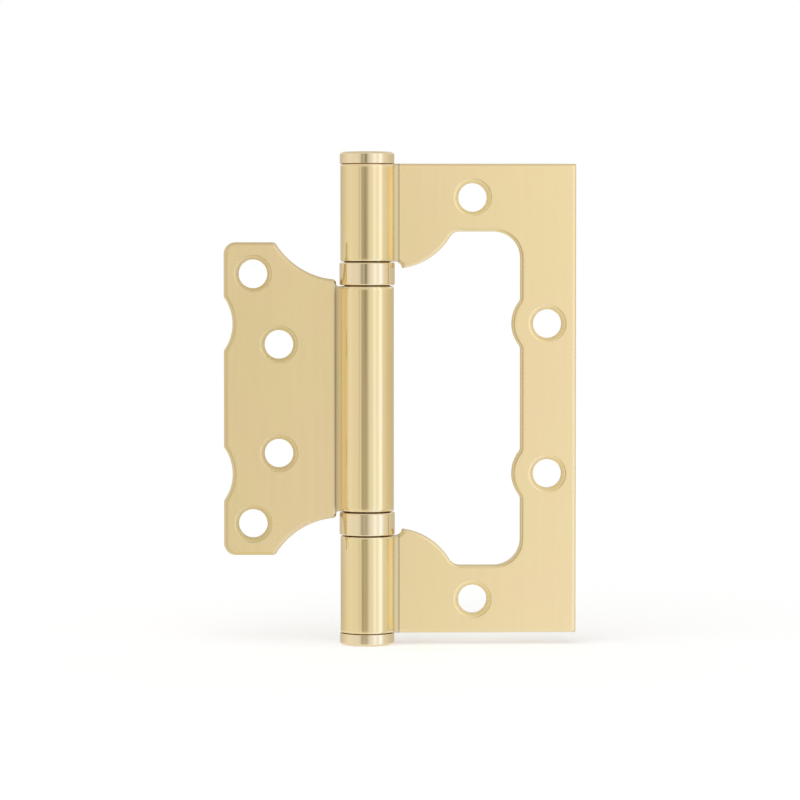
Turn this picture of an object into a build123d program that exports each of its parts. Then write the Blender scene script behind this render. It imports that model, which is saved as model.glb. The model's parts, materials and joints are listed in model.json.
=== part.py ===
from build123d import *
import os
from math import acos, atan2, cos, degrees, radians, sin, sqrt, tan

# A flush door hinge: two sheet metal leaves rolled round one pin, drawn flat open.
# The small leaf's outline, plus a gap, is the cut-out of the large leaf, so it closes to one thickness.
# The origin is on the pin axis at mid height. +Z runs up the pin, +X towards the large leaf,
# -Y towards the side that shows, and +Y towards the wood that the leaves are screwed to.
# All sizes are in millimetres.

# Sheet and pin
SHEET = 2.5               # thickness of both leaves
PIN_R = 3.15              # radius of the hinge pin
PIN_CLEAR = 0.05          # running clearance of the pin in the knuckles, on the radius
BEND_R = 2.0              # inside radius of the bend from leaf to knuckle
SEAM_GAP = 0.3            # slit between the end of the roll and the back of the bend
EDGE_BREAK = 0.25         # bevel of the edges that show

# Barrel
CENTRE_KNUCKLE = 48.0     # length of the small leaf's knuckle
BEARING_SPACE = 5.2       # gap between knuckles, filled by a bearing
CAP_R = 5.8               # radius of the end buttons
CAP_H = 2.5               # height of the end buttons
CAP_BREAK = 0.45          # bevel of a button's outer rim
SPIGOT = 6.0              # length of the shank that holds a button in the knuckle
SPIGOT_FIT = 0.02         # clearance of that shank in the knuckle, on the radius
PIN_END_GAP = 0.5         # gap between the pin and a button's shank
PIN_CHAMFER = 0.4         # chamfer on both ends of the pin

# Small leaf
SMALL_REACH = 30.5        # pin axis to outer edge
SMALL_H = 66.6            # height of the outer edge
SMALL_CORNER = 2.5        # radius of the outer corners
SHOULDER_ROUND = 0.8      # rounding where the top edge turns into the sweep
NECK_OUT = 0.9            # step from the knuckle's outside to the neck of the leaf
NECK_RISE = 1.35          # height of the neck above the knuckle's end
NECK_ROUND = 0.6          # rounding of the neck's corner, as a share of the neck's height
NECK_FOOT = 0.35          # rounding of the neck's foot, as a share of the neck's height
SWEEP_R = 16.2            # radius of the curve from the neck to the top edge
SCALLOP_ROUND = 0.8       # rounding of a scallop's ends

# Large leaf
NEST_SIDE = 2.15          # gap beside the nested small leaf
NEST_END = 2.3            # gap above and below the nested small leaf
SIDE_BAND = 11.85         # width of the upright strip
END_BAND = 14.4           # height of the arms above and below the cut-out
LARGE_CORNER = 0.4        # radius of the outer corners
CUTOUT_CORNER = 5.6       # radius of the cut-out's outer corners
CUTOUT_BLEND = 2.5        # radius where the sweep turns into the cut-out's top edge
NOTCH_OUT = 0.25          # step from the knuckle's outside to the relief notch
NOTCH_R = 1.5             # radius of the relief notch below the knuckle
BOSS_R = 7.6              # radius of the metal kept round each side screw
BOSS_BLEND = 1.5          # radius where that metal runs into the cut-out's side

# Screw holes
SCREW_R = 3.05            # radius of the through hole
SINK_R = 3.85             # radius of the countersink at the front face
SINK_ANGLE = 90.0         # angle of the countersink
SIDE_SCREW_EDGE = 6.1     # large leaf, side screws: in from the outer edge
SIDE_SCREW_Z = 16.0       # large leaf, side screws: up and down from the middle
END_SCREW_X = 22.45       # large leaf, end screws: out from the pin axis
END_SCREW_EDGE = 7.15     # large leaf, end screws: in from the top and bottom edges
OUTER_SCREW_EDGE = 6.2    # small leaf, outer screws: in from the outer edge
OUTER_SCREW_TOP = 6.7     # small leaf, outer screws: in from the top and bottom edges
INNER_SCREW_X = 18.8      # small leaf, inner screws: out from the pin axis
INNER_SCREW_Z = 11.6      # small leaf, inner screws: up and down from the middle

# Bearings
SLEEVE_R = 5.9            # outside radius of the ring that shows
SLEEVE_WALL = 1.0         # wall of that ring
SLEEVE_GAP = 0.2          # gap between the ring and the knuckles above and below it
SLEEVE_BREAK = 0.2        # bevel of the ring's outer rims
BUSH_FIT = 0.05           # clearance of the bush in the ring and on the pin, on the radius

# Where a round piece stands on its own origin
STANDING = (Align.CENTER, Align.CENTER, Align.MIN)
HANGING = (Align.CENTER, Align.CENTER, Align.MAX)

# Sizes that follow
half_sheet = SHEET / 2
bore_r = PIN_R + PIN_CLEAR
knuckle_r = bore_r + SHEET
bend_x = sqrt((knuckle_r + BEND_R) ** 2 - (half_sheet + BEND_R) ** 2)
bend_angle = degrees(atan2(half_sheet + BEND_R, bend_x))

large_h = SMALL_H + 2 * (NEST_END + END_BAND)
large_reach = SMALL_REACH + NEST_SIDE + SIDE_BAND
large_half = large_h / 2
small_half = SMALL_H / 2
centre_half = CENTRE_KNUCKLE / 2
end_knuckle_z = centre_half + BEARING_SPACE

sweep_x = knuckle_r
sweep_z = centre_half + NECK_RISE + SWEEP_R
tongue_z = end_knuckle_z - NOTCH_R
tongue_r = sweep_z - tongue_z
neck_x = knuckle_r + NECK_OUT
notch_x = knuckle_r + NOTCH_OUT
cutout_x = SMALL_REACH + NEST_SIDE
cutout_z = small_half + NEST_END
side_screw_x = large_reach - SIDE_SCREW_EDGE
scallop_r = BOSS_R + NEST_SIDE

pin_half = large_half - SPIGOT - PIN_END_GAP
bearing_z = centre_half + BEARING_SPACE / 2
sleeve_bore = SLEEVE_R - SLEEVE_WALL


def along(circle_r, offset):
    """Half the chord that a line at this offset from a circle's centre cuts off."""
    return sqrt(circle_r ** 2 - offset ** 2)


def span(u0, u1, v0, v1):
    """Rectangle between two distances from the pin axis and two heights."""
    return Pos((u0 + u1) / 2, (v0 + v1) / 2) * Rectangle(abs(u1 - u0), abs(v1 - v0))


def rounded(sketch, u, heights, radius):
    """The sketch with its corners nearest to these points rounded, each above and below the middle."""
    for v in heights:
        for height in (v, -v):
            corner = sketch.vertices().sort_by_distance((u, height, 0))[0]
            sketch = fillet(corner, radius)
    return sketch


def small_outline():
    """Blank of the small leaf: neck, sweeps, scalloped outer edge and the tab for the centre knuckle."""
    outline = span(neck_x, SMALL_REACH, -small_half, small_half)
    outline = rounded(outline, SMALL_REACH, [small_half], SMALL_CORNER)
    for side in (1, -1):
        outline -= Pos(sweep_x, side * sweep_z) * Circle(SWEEP_R)
        outline -= Pos(side_screw_x, side * SIDE_SCREW_Z) * Circle(scallop_r)
    shoulder = sweep_x + along(SWEEP_R, sweep_z - small_half)
    scallop = along(scallop_r, side_screw_x - SMALL_REACH)
    outline = rounded(outline, shoulder, [small_half], SHOULDER_ROUND)
    outline = rounded(outline, neck_x, [sweep_z - SWEEP_R], NECK_ROUND * NECK_RISE)
    outline = rounded(outline, SMALL_REACH, [SIDE_SCREW_Z - scallop, SIDE_SCREW_Z + scallop], SCALLOP_ROUND)
    outline += span(-2 * knuckle_r, neck_x, -centre_half, centre_half)
    return rounded(outline, neck_x, [centre_half], NECK_FOOT * NECK_RISE)


def cutout():
    """Opening of the large leaf, which the small leaf and its knuckle fill when the hinge is closed."""
    opening = span(sweep_x, cutout_x, -cutout_z, cutout_z)
    for side in (1, -1):
        opening -= Pos(sweep_x, side * sweep_z) * Circle(tongue_r)
        opening -= Pos(side_screw_x, side * SIDE_SCREW_Z) * Circle(BOSS_R)
    blend = sweep_x + along(tongue_r, sweep_z - cutout_z)
    boss = along(BOSS_R, side_screw_x - cutout_x)
    opening = rounded(opening, blend, [cutout_z], CUTOUT_BLEND)
    opening = rounded(opening, cutout_x, [cutout_z], CUTOUT_CORNER)
    opening = rounded(opening, cutout_x, [SIDE_SCREW_Z - boss, SIDE_SCREW_Z + boss], BOSS_BLEND)
    opening += span(-2 * knuckle_r, notch_x, -end_knuckle_z, end_knuckle_z)
    opening += span(notch_x, notch_x + NOTCH_R, -tongue_z, tongue_z)
    for side in (1, -1):
        opening += Pos(notch_x, side * tongue_z) * Circle(NOTCH_R)
    return opening


def large_outline():
    """Blank of the large leaf: a plain rectangle round the cut-out, with tabs for the end knuckles."""
    outline = span(-2 * knuckle_r, large_reach, -large_half, large_half)
    return rounded(outline, large_reach, [large_half], LARGE_CORNER) - cutout()


def rolled_section(reach):
    """Section of a leaf across the barrel: flat sheet, bend, and the roll round the pin."""
    bend = (bend_x, half_sheet + BEND_R)
    bend_to_end = BEND_R + SHEET + SEAM_GAP
    axis_to_bend = knuckle_r + BEND_R
    turn = (knuckle_r ** 2 + axis_to_bend ** 2 - bend_to_end ** 2) / (2 * knuckle_r * axis_to_bend)
    end_angle = bend_angle - degrees(acos(turn))
    roll = 360 + end_angle - bend_angle
    sweep = 90 - bend_angle
    end = Vector(cos(radians(end_angle)), sin(radians(end_angle)))
    edges = [
        Line((reach, half_sheet), (bend_x, half_sheet)),
        CenterArc(bend, BEND_R, -90, -sweep),
        CenterArc((0, 0), knuckle_r, bend_angle, roll),
        Line(end * knuckle_r, end * bore_r),
        CenterArc((0, 0), bore_r, end_angle, -roll),
        CenterArc(bend, BEND_R + SHEET, -90, -sweep),
        Line((bend_x, -half_sheet), (reach, -half_sheet)),
        Line((reach, -half_sheet), (reach, half_sheet)),
    ]
    return make_face(edges)


def screw_hole():
    """Cutter for one countersunk hole, with the leaf's front face at half a sheet above its origin."""
    slope = tan(radians(SINK_ANGLE / 2))
    sink_depth = (SINK_R - SCREW_R) / slope
    past_face = SHEET
    cone = Cone(SCREW_R, SINK_R + past_face * slope, sink_depth + past_face, align=STANDING)
    return Cylinder(SCREW_R, 2 * SHEET) + Pos(0, 0, half_sheet - sink_depth) * cone


def leaf(side, outline, reach, half_height, screws):
    """A blanked and rolled leaf, with side 1 towards +X and side -1 towards -X."""
    across = Plane((0, 0, 0), x_dir=(side, 0, 0), z_dir=(0, 0, -side))
    facing = Plane((0, 0, 0), x_dir=(side, 0, 0), z_dir=(0, -1, 0))
    sheet = extrude(across * rolled_section(reach), half_height, both=True)
    blank = extrude(facing * outline, 2 * knuckle_r, both=True)
    body = sheet & blank
    front = body.faces().filter_by(Axis.Y).sort_by(Axis.Y)[0]
    crease = front.edges().filter_by(Axis.Z).filter_by_position(Axis.X, side * bend_x, side * bend_x)
    body = chamfer([edge for edge in front.edges() if edge not in crease], EDGE_BREAK)
    for u, v in screws:
        for height in (v, -v):
            body -= facing * Pos(u, height) * screw_hole()
    return body


def large_leaf():
    """The leaf for the door frame, with the cut-out and both end knuckles."""
    screws = [(side_screw_x, SIDE_SCREW_Z), (END_SCREW_X, large_half - END_SCREW_EDGE)]
    return leaf(1, large_outline(), large_reach, large_half, screws)


def small_leaf():
    """The leaf for the door, with the centre knuckle."""
    outer = (SMALL_REACH - OUTER_SCREW_EDGE, small_half - OUTER_SCREW_TOP)
    return leaf(-1, small_outline(), SMALL_REACH, small_half, [outer, (INNER_SCREW_X, INNER_SCREW_Z)])


def hinge_pin():
    """The rod that all three knuckles turn on."""
    rod = Cylinder(PIN_R, 2 * pin_half)
    return chamfer(rod.edges().filter_by(GeomType.CIRCLE), PIN_CHAMFER)


def end_cap():
    """A flat button with its shank, standing on the top of the barrel."""
    button = Cylinder(CAP_R, CAP_H, align=STANDING)
    button = chamfer(button.edges().filter_by(GeomType.CIRCLE).sort_by(Axis.Z)[-1], CAP_BREAK)
    shank = Cylinder(bore_r - SPIGOT_FIT, SPIGOT, align=HANGING)
    return Pos(0, 0, large_half) * (button + shank)


def ring(outer_r, inner_r, height):
    """A plain ring about the pin axis, centred on the origin."""
    return Cylinder(outer_r, height) - Cylinder(inner_r, height)


def sleeve():
    """The ring of a bearing, which shows between two knuckles."""
    shell = ring(SLEEVE_R, sleeve_bore, BEARING_SPACE - 2 * SLEEVE_GAP)
    rims = shell.edges().filter_by(GeomType.CIRCLE).filter_by(lambda edge: edge.radius > sleeve_bore)
    return chamfer(rims, SLEEVE_BREAK)


def bush():
    """The plain bush inside a bearing's ring, whose ends carry the knuckles."""
    return ring(sleeve_bore - BUSH_FIT, PIN_R + BUSH_FIT, BEARING_SPACE)


nodes = {
    "large_leaf": large_leaf(),
    "small_leaf": small_leaf(),
    "hinge_pin": hinge_pin(),
    "top_cap": end_cap(),
    "bottom_cap": mirror(end_cap(), Plane.XY),
}
for name, height in (("upper", bearing_z), ("lower", -bearing_z)):
    nodes[f"{name}_bearing_sleeve"] = Pos(0, 0, height) * sleeve()
    nodes[f"{name}_bearing_bush"] = Pos(0, 0, height) * bush()

os.makedirs("parts", exist_ok=True)
for name, shape in nodes.items():
    export_step(shape, f"parts/{name}.step")
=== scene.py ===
import json
from math import cos, radians, sin

import bpy
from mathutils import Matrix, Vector


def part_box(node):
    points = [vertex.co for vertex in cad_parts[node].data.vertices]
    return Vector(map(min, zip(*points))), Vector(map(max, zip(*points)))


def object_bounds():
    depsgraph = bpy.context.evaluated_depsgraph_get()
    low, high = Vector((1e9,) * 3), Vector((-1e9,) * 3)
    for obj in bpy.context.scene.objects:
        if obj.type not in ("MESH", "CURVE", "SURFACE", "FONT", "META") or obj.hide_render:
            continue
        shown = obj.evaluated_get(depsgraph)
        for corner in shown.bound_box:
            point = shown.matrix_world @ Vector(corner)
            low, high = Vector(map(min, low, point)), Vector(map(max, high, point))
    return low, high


# The looks of a flush hinge, flat open: satin gold leaves, a polished barrel, and bright rings and caps.
# All sizes are in metres, in the frame of the solids: +Z up the pin, +X to the large leaf, -Y to the viewer.

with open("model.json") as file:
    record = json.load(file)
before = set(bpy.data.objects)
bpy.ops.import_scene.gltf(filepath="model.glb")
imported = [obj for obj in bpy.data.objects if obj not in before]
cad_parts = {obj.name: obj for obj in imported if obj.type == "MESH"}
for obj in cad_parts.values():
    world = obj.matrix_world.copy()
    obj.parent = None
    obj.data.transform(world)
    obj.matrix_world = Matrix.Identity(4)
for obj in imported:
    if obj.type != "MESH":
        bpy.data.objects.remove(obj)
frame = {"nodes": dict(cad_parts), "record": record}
cad_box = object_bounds()
nodes = frame["nodes"]
MM = 0.001

# Sizes read from the solids
ring_low, ring_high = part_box("upper_bearing_sleeve")
RING_R = (ring_high.x - ring_low.x) / 2
OBJECT_CENTRE = (cad_box[0] + cad_box[1]) / 2
FLOOR_Z = cad_box[0].z

# The screw holes of both leaves, folded into one quarter. Each leaf has no metal at the other leaf's spots.
screw_rows = [mount for mount in frame["record"]["mounts"] if mount["kind"] == "bolt_pattern"]
SCREW_SPOTS = [(abs(row["pos_m"][0]), 0, row["dims"]["spacing_y_mm"] * MM / 2) for row in screw_rows]

# The photograph's camera
IMAGE_SIDE = 800
PIXELS_PER_METRE = 4688
CAMERA_DISTANCE = 0.75
CAMERA_AZIMUTH = -1.5
CAMERA_ELEVATION = 2.3
CAMERA_DROP = 0.3 * MM
CAMERA_AIM = Vector((OBJECT_CENTRE.x, 0, -CAMERA_DROP))
SENSOR_MM = 36

# The stretches in which a leaf's finish and its painted light and shade change, outwards from the pin
RING_PROUD = 0.2 * MM
BEND_WIDTH = 1.2 * MM
KNUCKLE_R = RING_R - RING_PROUD
BEND_END = RING_R + BEND_WIDTH
CREASE_START = (KNUCKLE_R + 0.01 * MM, KNUCKLE_R + 0.12 * MM)
CREASE_END = (BEND_END - 0.35 * MM, BEND_END + 0.15 * MM)
LINE_START = (BEND_END - 0.45 * MM, BEND_END - 0.3 * MM)
LINE_END = (BEND_END - 0.2 * MM, BEND_END)
FLAT_START = (BEND_END - 0.2 * MM, BEND_END + 0.2 * MM)

# The stretches in which the finish and the countersinks' painted tint and shade change outwards from a
# screw's axis, and backwards through the leaf
SINK_R = 3.85 * MM
SINK_Y = -0.45 * MM
SINK_END = (SINK_R - 0.05 * MM, SINK_R + 0.05 * MM)
SINK_BOTTOM = (SINK_Y, SINK_Y + 0.1 * MM)
ROLL_START = (SINK_R + 0.3 * MM, SINK_R + 1.5 * MM)

# Rolled edges: how far in they reach, and how square their normal is where shade is painted on them and where
# they shine
LARGE_EDGE_ROLL = 1.0 * MM
SMALL_EDGE_ROLL = 1.3 * MM
HOLE_ROLL = 0.5 * MM
ROLL_SAMPLES = 16
EDGE_SQUARE = (0.965, 0.9995)
BURNISHED_SQUARE = (0.99, 0.9997)

# Closed-in places: how far round them to look, and how open they are where brown shade is painted into gaps
# and a paler, cooler tint onto the knuckle beside the leaves
GROOVE_REACH = 0.5 * MM
GROOVE_OPEN = (0.15, 0.75)
BESIDE_REACH = 12 * MM
BESIDE_OPEN = (0.7, 0.98)
OPEN_SAMPLES = 8

# Colours
SATIN_COLOUR = (0.785, 0.632, 0.328, 1)
SATIN_WARM = (0.795, 0.622, 0.338, 1)
POLISHED_COLOUR = (0.80, 0.66, 0.41, 1)
# Painted shade: the brown that darkens gaps and grooves
CREVICE_SHADE_COLOUR = (0.46, 0.21, 0.045, 1)
STEEL_COLOUR = (0.56, 0.56, 0.57)
NYLON_COLOUR = (0.15, 0.065, 0.018, 1)
NYLON_LIGHT = (0.19, 0.085, 0.028, 1)
FLOOR_COLOUR = (0.8, 0.8, 0.8, 1)
WHITE = (1, 1, 1, 1)

# What a colour is multiplied by: painted light and shade, but for the streak and steel tones, which are grain
# Painted light: the flat plates are painted lighter than the knuckle of the same sheet
PLATE_PAINTED_LIFT = 1.135
# Painted shade darkening the rolled edges of each leaf
LARGE_EDGE_SHADE = 0.85
SMALL_EDGE_SHADE = 0.76
# Painted paler, cooler tint on the knuckle beside the leaves, offsetting the warm light they bounce onto it
BESIDE_PAINTED_TINT = (1.1, 1.3, 1.9)
# Painted shade in the crease of the bend
CREASE_SHADE = (0.78, 0.73, 0.62)
# Painted dark reflection line where the bend meets the flat
LINE_SHADE = (0.7, 0.68, 0.62)
# Painted tints in the countersinks: a cooler one that evens the large leaf's with its plate, and painted
# shade in the small leaf's
LARGE_SINK_PAINTED_TINT = (0.99, 1.04, 1.07)
SMALL_SINK_SHADE = (0.87, 0.9, 0.89)
STREAK_TONES = (0.993, 1.007)
STEEL_TONES = (0.92, 1.05)

# Roughness, as one value or as the range that the grain gives
PLATE_ROUGHNESS = 0.45
CREASE_ROUGHNESS = 0.4
SINK_ROUGHNESS = 0.62
EDGE_ROUGHNESS = 0.18
KNUCKLE_ROUGHNESS = 0.07
SATIN_GRAIN = (-0.03, 0.03)
TURNED_ROUGHNESS = (0.06, 0.11)
STEEL_ROUGHNESS = (0.22, 0.34)
NYLON_ROUGHNESS = (0.45, 0.6)

# Noise: lines up and down, as their number a metre across and along with the noise's detail, and other grain
FINE_LINES = (4200, 70, 3.0)
BROAD_LINES = (700, 12, 2.0)
RIPPLE_LINES = (1500, 3, 1.0)
DRAWN_LINES = (3000, 40, 3.0)
LINE_BREAKUP = 0.6
LATHE_SCALE = (60, 60, 5000)
CLOUD_SCALE = 45
MOULDED_SCALE = 3500
GRAIN_DETAIL = 2.0
NOISE_RANGE = (0.3, 0.7)
CLOUD_RANGE = (0.35, 0.65)

# Bump
BRUSH_STRENGTH = 0.12
BRUSH_DEPTH = 0.02 * MM
RIPPLE_STRENGTH = 1.0
RIPPLE_DEPTH = 0.05 * MM
LATHE_STRENGTH = 0.05
LATHE_DEPTH = 0.01 * MM

# Rounded edges of the solids
LEAF_EDGE = 0.15 * MM
TURNED_EDGE = 0.08 * MM
HIDDEN_EDGE = 0.05 * MM
EDGE_SEGMENTS = 3
JOIN_GAP = 0.001 * MM
FLAT_ANGLE = 1.0
SHARP_ANGLE = 30.0

# Floor, world and sun
FLOOR_HALF = 3.0
FLOOR_GLOW = 0.34
FILL_LEVEL = 0.5
WHITE_LEVEL = 1.0
SUN_LEVEL = 1.2
SUN_SPREAD = 70
SUN_AZIMUTH = -30
SUN_ELEVATION = 60

# The light tent, as (angle, value) stops. Azimuth 0 is the viewer's side, and elevation 0 is level.
TENT_R = 0.3
TENT_STEP = 2

# Its level all round, with the light bands that the barrel mirrors, and from the bottom to the top
BAND_ROUND = [(-180, 0.95), (-115, 0.95), (-95, 0.99), (-77, 1.03), (-62, 0.99), (-45, 0.98), (6, 0.98),
              (16, 0.99), (20, 1.03), (24, 1.1), (29, 1.24), (33, 1.27), (38, 1.16), (43, 1.05), (48, 1.1),
              (52, 1.22), (57, 1.34), (61, 1.3), (66, 1.1), (71, 0.99), (77, 0.94), (84, 0.9), (92, 0.92),
              (110, 1.0), (180, 0.95)]
BAND_HEIGHT = [(-90, 1.0), (-50, 1.03), (-26, 1.04), (-14, 1.0), (10, 1.0), (18, 1.02), (28, 0.93),
               (60, 0.84), (90, 0.76)]

# What is added at the right: more above and less below
RIGHT_ROUND = [(4, 0.0), (25, 1.0), (90, 1.0), (130, 0.0)]
RIGHT_HEIGHT = [(-70, 0.0), (-45, -0.05), (-20, -0.05), (-12, 0.0), (12, 0.0), (20, 0.12), (34, 0.12),
                (55, 0.0)]

# What is taken off behind the hinge, on the camera's side, and in a dark bar just left of the camera
BACK_ROUND = [(-170, 0.3), (-145, 0.24), (-115, 0.08), (-95, 0.0), (85, 0.0), (110, 0.2), (140, 0.28),
              (170, 0.3)]
BACK_HEIGHT = [(-28, 0.0), (-18, 1.0), (13, 1.0), (22, 0.0)]
DIM_ROUND = [(-42, 0.02), (-33, 0.1), (-28, 0.24), (-25, 0.4), (-23, 0.5), (-20, 0.5), (-17, 0.4),
             (-13, 0.37), (-8, 0.42), (-3, 0.44), (0, 0.36), (4, 0.22), (8, 0.1), (13, 0.03), (18, 0.0)]
DIM_HEIGHT = [(-42, 0.0), (-24, 0.6), (-14, 1.0), (12, 1.0), (18, 0.5), (28, 0.0)]
LENS_ROUND = [(-12, 0.0), (-9, 0.7), (-7, 1.0), (-5, 1.0), (-3, 0.5), (-1, 0.0)]
LENS_HEIGHT = [(-8, 0.0), (-2, 0.12), (4, 0.5), (12, 0.5), (15, 0.0)]

# How much more blue the light has, the share of that in green, and what green and blue lose behind the hinge
COOL_ROUND = [(-100, 0.0), (-45, 0.04), (-30, 0.02), (-18, -0.08), (-6, -0.1), (2, 0.04), (8, 0.12),
              (20, 0.18), (33, 0.2), (46, 0.3), (57, 0.46), (66, 0.2), (76, -0.04), (100, 0.0)]
COOL_HEIGHT = [(-60, 1.8), (-20, 1.4), (-8, 1.0), (40, 0.6)]
COOL_GREEN = 0.25
BACK_GREEN = 0.2
BACK_BLUE = 0.6


def add_node(tree, kind, values=None, **settings):
    """A new node with its settings, and with each value set on its input, or linked if it is an output."""
    made = tree.nodes.new(kind)
    for name, value in settings.items():
        setattr(made, name, value)
    for name, value in (values or {}).items():
        socket = made.inputs[name]
        if isinstance(value, bpy.types.NodeSocket):
            tree.links.new(value, socket)
        else:
            socket.default_value = value
    return made


def work_out(tree, operation, first, second=0.0):
    """The result of one sum on two numbers or outputs, or on the first alone."""
    return add_node(tree, "ShaderNodeMath", {0: first, 1: second}, operation=operation).outputs[0]


def times(tree, first, second):
    """The product of two numbers or outputs."""
    return work_out(tree, "MULTIPLY", first, second)


def rest_of(tree, share):
    """What a share leaves of 1."""
    return work_out(tree, "SUBTRACT", 1.0, share)


def vectors(tree, operation, first, second=(0, 0, 0)):
    """The outputs, Vector and Value, of one sum on two vectors, or on the first alone."""
    return add_node(tree, "ShaderNodeVectorMath", {0: first, 1: second}, operation=operation).outputs


def scaled(tree, colour, level):
    """A colour times a number."""
    values = {0: colour, "Scale": level}
    return add_node(tree, "ShaderNodeVectorMath", values, operation="SCALE").outputs["Vector"]


def blend(tree, factor, first, second):
    """A colour between two colours or outputs, which go to a mix node's inputs 6 and 7."""
    return add_node(tree, "ShaderNodeMix", {0: factor, 6: first, 7: second}, data_type="RGBA").outputs[2]


def remap(tree, value, low, high, to_low=0.0, to_high=1.0):
    """The value's range from low to high, taken smoothly to another range."""
    values = {"Value": value, "From Min": low, "From Max": high, "To Min": to_low, "To Max": to_high}
    return add_node(tree, "ShaderNodeMapRange", values, interpolation_type="SMOOTHSTEP").outputs["Result"]


def below(tree, value, low, high):
    """1 where the value is under low, falling smoothly to 0 at high."""
    return remap(tree, value, low, high, 1.0, 0.0)


def by_share(tree, share, none, full):
    """A number that goes smoothly from none to full as the share goes from 0 to 1."""
    return remap(tree, share, 0, 1, none, full)


def object_place(tree):
    """The place on the hinge, in the object's own frame."""
    return add_node(tree, "ShaderNodeTexCoord").outputs["Object"]


def noise(tree, place, scale):
    """Even noise of that scale."""
    values = {"Vector": place, "Scale": scale, "Detail": GRAIN_DETAIL}
    return add_node(tree, "ShaderNodeTexNoise", values).outputs[0]


def stretched(tree, place, scale):
    """The place with each axis scaled by itself."""
    return add_node(tree, "ShaderNodeMapping", {"Vector": place, "Scale": scale}).outputs[0]


def lines(tree, place, across, along, detail):
    """Noise drawn out into lines that run along Z, with that many lines a metre across and along."""
    drawn = stretched(tree, place, (across, across, along))
    values = {"Vector": drawn, "Scale": 1.0, "Detail": detail, "Roughness": LINE_BREAKUP}
    return add_node(tree, "ShaderNodeTexNoise", values).outputs[0]


def crevice(tree, reach, shut, clear):
    """0 on open faces, rising to 1 in gaps and grooves narrower than about the reach."""
    values = {"Distance": reach}
    shade = add_node(tree, "ShaderNodeAmbientOcclusion", values, samples=OPEN_SAMPLES, only_local=False)
    return below(tree, shade.outputs["AO"], shut, clear)


def off_pin(tree, place):
    """The distance from the axis of the pin."""
    from_pin = vectors(tree, "MULTIPLY", place, (1, 1, 0))["Vector"]
    return vectors(tree, "LENGTH", from_pin)["Value"]


def off_screws(tree, place):
    """The distance from the axis of the nearest screw hole."""
    on_leaf = vectors(tree, "MULTIPLY", place, (1, 0, 1))["Vector"]
    folded = vectors(tree, "ABSOLUTE", on_leaf)["Vector"]
    nearest = None
    for spot in SCREW_SPOTS:
        away = vectors(tree, "DISTANCE", folded, spot)["Value"]
        nearest = away if nearest is None else work_out(tree, "MINIMUM", nearest, away)
    return nearest


def edge_roll(tree, screw, roll):
    """The normal, turned over towards an edge but less at a hole, and how square it is to the leaf."""
    reach = remap(tree, screw, *ROLL_START, HOLE_ROLL, roll)
    normal = add_node(tree, "ShaderNodeBevel", {"Radius": reach}, samples=ROLL_SAMPLES).outputs[0]
    turn = {"vector_type": "NORMAL", "convert_from": "WORLD", "convert_to": "OBJECT"}
    own = add_node(tree, "ShaderNodeVectorTransform", {0: normal}, **turn).outputs[0]
    facing = vectors(tree, "DOT_PRODUCT", own, (0, 1, 0))["Value"]
    return normal, work_out(tree, "ABSOLUTE", facing)


def bare_material(name):
    """A material with no nodes. Gives the material and its node tree."""
    material = bpy.data.materials.new(name)
    material.use_nodes = True
    material.node_tree.nodes.clear()
    return material, material.node_tree


def new_finish(name):
    """A material with a plain surface shader. Gives the material, its node tree and the shader."""
    material, tree = bare_material(name)
    shader = add_node(tree, "ShaderNodeBsdfPrincipled")
    add_node(tree, "ShaderNodeOutputMaterial", {"Surface": shader.outputs[0]})
    return material, tree, shader


def leaf_zones(tree, place, roll):
    """The share of each zone of a leaf's finish and painted light and shade, from 0 to 1, and the normal with
    its edges rolled over.
    """
    radius = off_pin(tree, place)
    screw = off_screws(tree, place)
    depth = add_node(tree, "ShaderNodeSeparateXYZ", {0: place}).outputs["Y"]
    normal, square = edge_roll(tree, screw, roll)
    flat = remap(tree, radius, *FLAT_START)
    sunk = times(tree, below(tree, screw, *SINK_END), below(tree, depth, *SINK_BOTTOM))
    outside = times(tree, flat, rest_of(tree, sunk))
    # Flat carries a painted lift and beside a painted paler tint; crease, line and edge carry painted shade;
    # sunk carries a painted tint on the large leaf and painted shade on the small; flat, crease, sunk and
    # burnished also set roughness
    zones = {
        "flat": flat,
        "sunk": sunk,
        "crease": times(tree, remap(tree, radius, *CREASE_START), below(tree, radius, *CREASE_END)),
        "line": times(tree, remap(tree, radius, *LINE_START), below(tree, radius, *LINE_END)),
        "beside": times(tree, crevice(tree, BESIDE_REACH, *BESIDE_OPEN), rest_of(tree, flat)),
        "edge": times(tree, outside, below(tree, square, *EDGE_SQUARE)),
        "burnished": times(tree, outside, below(tree, square, *BURNISHED_SQUARE)),
    }
    return zones, normal


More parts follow.
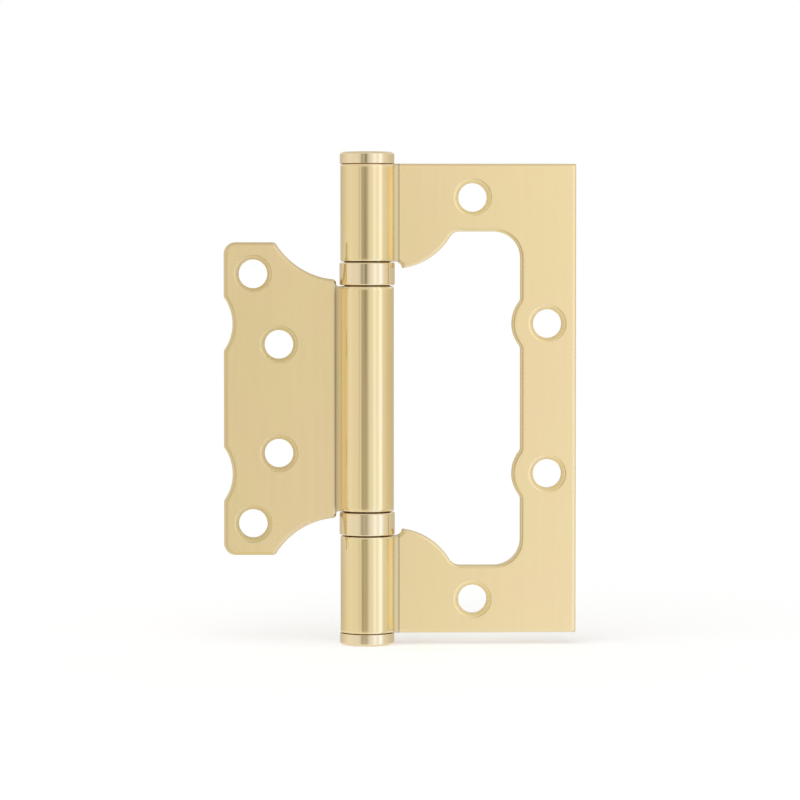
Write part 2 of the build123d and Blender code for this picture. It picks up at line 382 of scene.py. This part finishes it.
def satin_colour(tree, place, zones, sink_paint, edge_shade):
    """A leaf's colour: faint clouds and streaks, a painted lift on the flat, painted shade on the rolled
    edges, in the crease, in a painted dark reflection line at the bend's end and in the small leaf's
    countersinks, painted paler tints beside the leaves and in the large leaf's countersinks, and brown shade
    painted into the gaps.
    """
    clouds = remap(tree, noise(tree, place, CLOUD_SCALE), *CLOUD_RANGE)
    tint = blend(tree, clouds, SATIN_COLOUR, SATIN_WARM)
    level = remap(tree, lines(tree, place, *BROAD_LINES), *NOISE_RANGE, *STREAK_TONES)
    # Painted lift on the flat plates, and painted shade on the rolled edges
    for zone, tone in (("flat", PLATE_PAINTED_LIFT), ("edge", edge_shade)):
        level = times(tree, level, by_share(tree, zones[zone], 1.0, tone))
    colour = scaled(tree, tint, level)
    # Painted paler tint beside the leaves, painted shade in the crease and along the bend's line, painted
    # tint and shade in the countersinks
    tones = (("beside", BESIDE_PAINTED_TINT), ("crease", CREASE_SHADE), ("line", LINE_SHADE), ("sunk", sink_paint))
    for zone, tone in tones:
        toned = vectors(tree, "MULTIPLY", colour, tone)["Vector"]
        colour = blend(tree, zones[zone], colour, toned)
    # Painted brown shade in the gaps and grooves
    return blend(tree, crevice(tree, GROOVE_REACH, *GROOVE_OPEN), colour, CREVICE_SHADE_COLOUR)


def satin_roughness(tree, zones, fine):
    """A leaf's roughness: low on the knuckle and the rolled edges, high elsewhere, with a fine grain."""
    rough = by_share(tree, zones["flat"], KNUCKLE_ROUGHNESS, PLATE_ROUGHNESS)
    for zone, value in (("crease", CREASE_ROUGHNESS), ("sunk", SINK_ROUGHNESS)):
        rough = work_out(tree, "MAXIMUM", rough, times(tree, zones[zone], value))
    rubbed = times(tree, zones["burnished"], PLATE_ROUGHNESS - EDGE_ROUGHNESS)
    rough = work_out(tree, "SUBTRACT", rough, rubbed)
    return work_out(tree, "ADD", rough, remap(tree, fine, *NOISE_RANGE, *SATIN_GRAIN))


def satin_normal(tree, place, zones, rolled, fine):
    """A leaf's normal: brushed all over, with long ripples on the knuckle."""
    brush = {"Height": fine, "Strength": BRUSH_STRENGTH, "Distance": BRUSH_DEPTH, "Normal": rolled}
    brushed = add_node(tree, "ShaderNodeBump", brush).outputs[0]
    ripple = lines(tree, place, *RIPPLE_LINES)
    strength = by_share(tree, zones["flat"], RIPPLE_STRENGTH, 0.0)
    wave = {"Height": ripple, "Strength": strength, "Distance": RIPPLE_DEPTH, "Normal": brushed}
    return add_node(tree, "ShaderNodeBump", wave).outputs[0]


def satin_gold(name, sink_paint, edge_shade, roll):
    """A leaf's plating: brushed on the flat, dull and painted with shade in the bend, and rubbed bright on
    knuckles and edges, with shade painted on the edges too.
    """
    material, tree, shader = new_finish(name)
    place = object_place(tree)
    fine = lines(tree, place, *FINE_LINES)
    zones, rolled = leaf_zones(tree, place, roll)
    tree.links.new(satin_colour(tree, place, zones, sink_paint, edge_shade), shader.inputs["Base Color"])
    tree.links.new(satin_roughness(tree, zones, fine), shader.inputs["Roughness"])
    tree.links.new(satin_normal(tree, place, zones, rolled, fine), shader.inputs["Normal"])
    shader.inputs["Metallic"].default_value = 1.0
    return material


def polished_gold():
    """The turned pieces' plating: nearly a mirror, with faint rings from the lathe, and brown shade painted
    into the gaps.
    """
    material, tree, shader = new_finish("polished_gold_finish")
    rings = noise(tree, stretched(tree, object_place(tree), LATHE_SCALE), 1.0)
    # Painted brown shade in the gaps and grooves
    groove = crevice(tree, GROOVE_REACH, *GROOVE_OPEN)
    tree.links.new(blend(tree, groove, POLISHED_COLOUR, CREVICE_SHADE_COLOUR), shader.inputs["Base Color"])
    tree.links.new(remap(tree, rings, *NOISE_RANGE, *TURNED_ROUGHNESS), shader.inputs["Roughness"])
    ridge = {"Height": rings, "Strength": LATHE_STRENGTH, "Distance": LATHE_DEPTH}
    tree.links.new(add_node(tree, "ShaderNodeBump", ridge).outputs[0], shader.inputs["Normal"])
    shader.inputs["Metallic"].default_value = 1.0
    return material


def plain_steel():
    """The pin: drawn bright steel, with lines along its length."""
    material, tree, shader = new_finish("plain_steel_finish")
    drawn = lines(tree, object_place(tree), *DRAWN_LINES)
    tone = remap(tree, drawn, *NOISE_RANGE, *STEEL_TONES)
    tree.links.new(scaled(tree, STEEL_COLOUR, tone), shader.inputs["Base Color"])
    tree.links.new(remap(tree, drawn, *NOISE_RANGE, *STEEL_ROUGHNESS), shader.inputs["Roughness"])
    shader.inputs["Metallic"].default_value = 1.0
    return material


def nylon():
    """The bushes: dark moulded plastic with a fine matt grain."""
    material, tree, shader = new_finish("nylon_finish")
    grain = noise(tree, object_place(tree), MOULDED_SCALE)
    tree.links.new(blend(tree, grain, NYLON_COLOUR, NYLON_LIGHT), shader.inputs["Base Color"])
    tree.links.new(remap(tree, grain, *NOISE_RANGE, *NYLON_ROUGHNESS), shader.inputs["Roughness"])
    return material


def joined_faces():
    """A node group that joins a solid's faces along shared edges, and shades them by their own shape."""
    group = bpy.data.node_groups.new("joined_faces", "GeometryNodeTree")
    for way in ("INPUT", "OUTPUT"):
        group.interface.new_socket("Geometry", in_out=way, socket_type="NodeSocketGeometry")
    solid = add_node(group, "NodeGroupInput").outputs[0]
    values = {"Geometry": solid, "Distance": JOIN_GAP}
    joined = add_node(group, "GeometryNodeMergeByDistance", values).outputs[0]
    shaded = add_node(group, "GeometryNodeSetMeshNormal", {"Mesh": joined}, mode="SHARPNESS").outputs[0]
    add_node(group, "NodeGroupOutput", {"Geometry": shaded})
    return group


def dress(names, material, edge):
    """Gives the named solids their finish, and rounds their sharp edges by that much."""
    for name in names:
        piece = nodes[name]
        piece.data.materials.clear()
        piece.data.materials.append(material)
        piece.modifiers.new("join_faces", "NODES").node_group = JOINED_FACES
        flats = piece.modifiers.new("whole_flats", "DECIMATE")
        flats.decimate_type = "DISSOLVE"
        flats.angle_limit = radians(FLAT_ANGLE)
        bevel = piece.modifiers.new("round_edges", "BEVEL")
        bevel.width = edge
        bevel.segments = EDGE_SEGMENTS
        bevel.limit_method = "ANGLE"
        bevel.angle_limit = radians(SHARP_ANGLE)
        bevel.use_clamp_overlap = False
        piece.modifiers.new("smooth_rounds", "WEIGHTED_NORMAL").keep_sharp = False


def add_object(name, data):
    """A new object in the scene."""
    made = bpy.data.objects.new(name, data)
    bpy.context.scene.collection.objects.link(made)
    return made


def around(azimuth, elevation, distance):
    """A point that far from the pin's middle. Azimuth 0 is the viewer's side, and 90 the large leaf's."""
    turn, rise = radians(azimuth), radians(elevation)
    return distance * Vector((sin(turn) * cos(rise), -cos(turn) * cos(rise), sin(rise)))


def seen_rays(tree):
    """1 for what the eye sees, straight or in metal and glass, and 0 for the light that fills the scene."""
    rays = add_node(tree, "ShaderNodeLightPath").outputs
    mirrored = work_out(tree, "MAXIMUM", rays["Is Glossy Ray"], rays["Is Transmission Ray"])
    return work_out(tree, "MAXIMUM", rays["Is Camera Ray"], mirrored)


def white_floor():
    """A pale floor under the hinge, white to the eye, which still takes the hinge's shadow."""
    mesh = bpy.data.meshes.new("floor")
    sides = ((-1, -1), (1, -1), (1, 1), (-1, 1))
    corners = [(x * FLOOR_HALF, y * FLOOR_HALF, FLOOR_Z) for x, y in sides]
    mesh.from_pydata(corners, [], [(0, 1, 2, 3)])
    floor = add_object("floor", mesh)
    floor.visible_glossy = floor.visible_shadow = False
    material, tree = bare_material("floor_finish")
    diffuse = add_node(tree, "ShaderNodeBsdfDiffuse", {"Color": FLOOR_COLOUR}).outputs[0]
    glow = add_node(tree, "ShaderNodeEmission", {"Color": WHITE, "Strength": FLOOR_GLOW}).outputs[0]
    both = add_node(tree, "ShaderNodeAddShader", {0: diffuse, 1: glow}).outputs[0]
    surface = add_node(tree, "ShaderNodeMixShader", {0: seen_rays(tree), 1: diffuse, 2: both}).outputs[0]
    add_node(tree, "ShaderNodeOutputMaterial", {"Surface": surface})
    mesh.materials.append(material)


def white_world():
    """White for the eye, and a softer fill for the floor."""
    world = bpy.data.worlds.new("studio")
    bpy.context.scene.world = world
    world.use_nodes = True
    tree = world.node_tree
    tree.nodes.clear()
    fill = add_node(tree, "ShaderNodeBackground", {"Color": WHITE, "Strength": FILL_LEVEL}).outputs[0]
    bright = add_node(tree, "ShaderNodeBackground", {"Color": WHITE, "Strength": WHITE_LEVEL}).outputs[0]
    both = add_node(tree, "ShaderNodeMixShader", {0: seen_rays(tree), 1: fill, 2: bright}).outputs[0]
    add_node(tree, "ShaderNodeOutputWorld", {"Surface": both})


def between(stops, place):
    """The value at a place on a line through (place, value) stops, which holds past both ends."""
    for (place0, value0), (place1, value1) in zip(stops, stops[1:]):
        if place < place1:
            share = max(0.0, (place - place0) / (place1 - place0))
            return value0 + (value1 - value0) * share
    return stops[-1][1]


def tent_light(azimuth, elevation):
    """The tent's colour that way: light bands, dim at the camera and behind, and cooler low at the right."""
    light = between(BAND_ROUND, azimuth) * between(BAND_HEIGHT, elevation)
    light *= 1 + between(RIGHT_ROUND, azimuth) * between(RIGHT_HEIGHT, elevation)
    back = between(BACK_ROUND, azimuth) * between(BACK_HEIGHT, elevation)
    light *= 1 - back
    light *= 1 - between(DIM_ROUND, azimuth) * between(DIM_HEIGHT, elevation)
    light *= 1 - between(LENS_ROUND, azimuth) * between(LENS_HEIGHT, elevation)
    cool = between(COOL_ROUND, azimuth) * between(COOL_HEIGHT, elevation)
    green = 1 + COOL_GREEN * cool - BACK_GREEN * back
    blue = 1 + cool - BACK_BLUE * back
    return (light, light * green, light * blue, 1.0)


def tent_mesh():
    """The tent's sphere, by azimuth and elevation, with its light in the colour of each point."""
    azimuths = range(-180, 181, TENT_STEP)
    elevations = range(-90, 91, TENT_STEP)
    ways = [(azimuth, elevation) for azimuth in azimuths for elevation in elevations]
    row = len(elevations)
    faces = []
    for column in range(len(azimuths) - 1):
        for step in range(row - 1):
            first = column * row + step
            faces.append((first, first + 1, first + row + 1, first + row))
    mesh = bpy.data.meshes.new("light_tent")
    mesh.from_pydata([around(azimuth, elevation, TENT_R) for azimuth, elevation in ways], [], faces)
    glow = mesh.attributes.new("glow", "FLOAT_COLOR", "POINT")
    for spot, (azimuth, elevation) in zip(glow.data, ways):
        spot.color = tent_light(azimuth, elevation)
    return mesh


def light_tent():
    """A graded white tent round the hinge, which only reflections see."""
    mesh = tent_mesh()
    tent = add_object("light_tent", mesh)
    tent.visible_camera = tent.visible_diffuse = tent.visible_shadow = False
    material, tree = bare_material("light_tent_finish")
    colour = add_node(tree, "ShaderNodeAttribute", attribute_name="glow").outputs["Color"]
    light = add_node(tree, "ShaderNodeEmission", {"Color": colour, "Strength": WHITE_LEVEL}).outputs[0]
    add_node(tree, "ShaderNodeOutputMaterial", {"Surface": light})
    mesh.materials.append(material)


def soft_sun():
    """A broad light from above, behind the viewer's left shoulder, for the soft shadow on the floor."""
    lamp = bpy.data.lights.new("soft_sun", "SUN")
    lamp.energy = SUN_LEVEL
    lamp.angle = radians(SUN_SPREAD)
    sun = add_object("soft_sun", lamp)
    to_hinge = -around(SUN_AZIMUTH, SUN_ELEVATION, 1.0)
    sun.rotation_euler = to_hinge.to_track_quat("-Z", "Y").to_euler()
    sun.visible_camera = sun.visible_glossy = False


def photo_camera():
    """The photograph's view: from a little to the left and above, with the hinge's middle in the middle."""
    camera = bpy.data.cameras.new("camera")
    camera.sensor_width = SENSOR_MM
    camera.lens = PIXELS_PER_METRE * CAMERA_DISTANCE * SENSOR_MM / IMAGE_SIDE
    eye = add_object("camera", camera)
    eye.location = CAMERA_AIM + around(CAMERA_AZIMUTH, CAMERA_ELEVATION, CAMERA_DISTANCE)
    eye.rotation_euler = (CAMERA_AIM - eye.location).to_track_quat("-Z", "Y").to_euler()
    bpy.context.scene.camera = eye


JOINED_FACES = joined_faces()
large_finish = satin_gold("large_satin_gold", LARGE_SINK_PAINTED_TINT, LARGE_EDGE_SHADE, LARGE_EDGE_ROLL)
small_finish = satin_gold("small_satin_gold", SMALL_SINK_SHADE, SMALL_EDGE_SHADE, SMALL_EDGE_ROLL)
dress(["large_leaf"], large_finish, LEAF_EDGE)
dress(["small_leaf"], small_finish, LEAF_EDGE)
dress(["top_cap", "bottom_cap", "upper_bearing_sleeve", "lower_bearing_sleeve"], polished_gold(), TURNED_EDGE)
dress(["hinge_pin"], plain_steel(), HIDDEN_EDGE)
dress(["upper_bearing_bush", "lower_bearing_bush"], nylon(), HIDDEN_EDGE)

white_floor()
white_world()
light_tent()
soft_sun()
photo_camera()

bpy.context.scene.view_settings.view_transform = "Standard"
